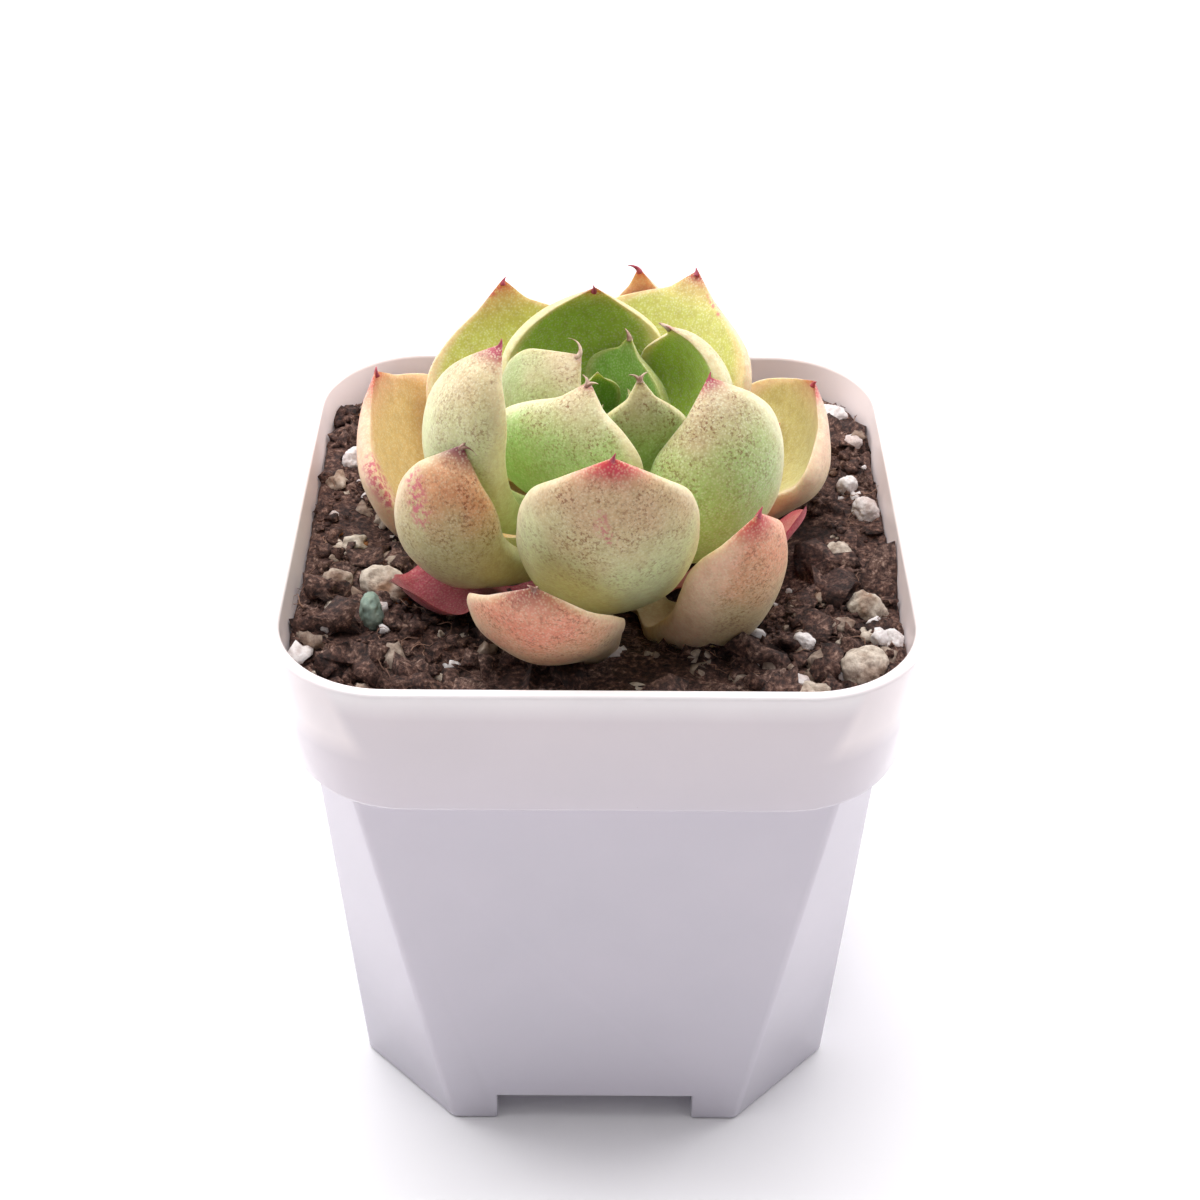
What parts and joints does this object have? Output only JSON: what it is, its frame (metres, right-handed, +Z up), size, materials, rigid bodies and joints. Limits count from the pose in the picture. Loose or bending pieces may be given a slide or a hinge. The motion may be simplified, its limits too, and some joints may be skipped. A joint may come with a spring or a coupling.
{
  "type": "potted succulent",
  "caption": "Small rosette succulent with thick pointed leaves, blushed at the tips, growing in gritty potting mix in a square white plastic pot",
  "frame": {"origin": "middle of the underside of the pot, on the table", "axes": "+Z up along the pot's height, +X to the pot's right, +Y from the front face to the back face"},
  "size_m": [0.0748, 0.0748, 0.1052],
  "materials": {
    "pot": "glossy moulded white plastic with a few specks of dirt",
    "soil": "damp dark brown peat with grit, fibres and bark",
    "stem": "dull green brown stem",
    "leaf_outer": "waxy, salmon and tan, finely speckled, orange towards the tip",
    "leaf_middle": "waxy, pale green, finely speckled, crimson tip",
    "leaf_heart": "waxy, fresh green with dry tips",
    "withered": "thin drying leaf, crimson and wrinkled",
    "perlite": "matt white, pitted",
    "pumice": "matt cream, porous",
    "zeolite": "matt grey green, chipped faces",
    "grit": "matt tan and brown"
  },
  "bodies": {
    "root": {"pot": "pot", "soil": "soil", "stem": "stem", "withered_left": "withered", "withered_right": "withered", "withered_back": "withered", "leaf_back_low_right": "leaf_outer", "leaf_back_low_left": "leaf_outer", "leaf_back_low": "leaf_outer", "leaf_front_low_left": "leaf_outer", "leaf_front_low_right": "leaf_outer", "leaf_front": "leaf_outer", "leaf_front_left": "leaf_outer", "leaf_left": "leaf_outer", "leaf_right": "leaf_outer", "leaf_back": "leaf_outer", "leaf_back_left": "leaf_middle", "leaf_back_right": "leaf_middle", "leaf_right_upper": "leaf_middle", "leaf_left_upper": "leaf_middle", "leaf_back_inner": "leaf_middle", "leaf_front_inner": "leaf_middle", "leaf_right_inner": "leaf_middle", "leaf_heart_left": "leaf_heart", "leaf_heart_back": "leaf_heart", "leaf_heart_front": "leaf_heart", "leaf_bud_left": "leaf_heart", "leaf_bud_back": "leaf_heart", "leaf_bud_right": "leaf_heart", "leaf_bud_inner_left": "leaf_heart", "leaf_bud_inner_right": "leaf_heart", "stone_zeolite": "zeolite", "stone_tan": "grit", "stone_perlite_back_left": "perlite", "stone_brown_left": "grit", "stone_perlite_left": "perlite", "stone_perlite_right": "perlite", "stone_perlite_right_edge": "perlite", "stone_pumice_small": "pumice", "stone_pumice_big": "pumice", "stone_perlite_round": "perlite", "stone_pumice_cream": "pumice", "stone_brown_right": "grit", "stone_perlite_front": "perlite", "stone_perlite_back_right": "perlite", "stone_pumice_left": "pumice", "stone_perlite_low_left": "perlite", "stone_grit_low_left": "grit", "stone_pumice_front_left": "pumice", "stone_grit_right": "grit", "stone_perlite_white": "perlite", "stone_perlite_back_edge": "perlite"}
  },
  "joints": []
}
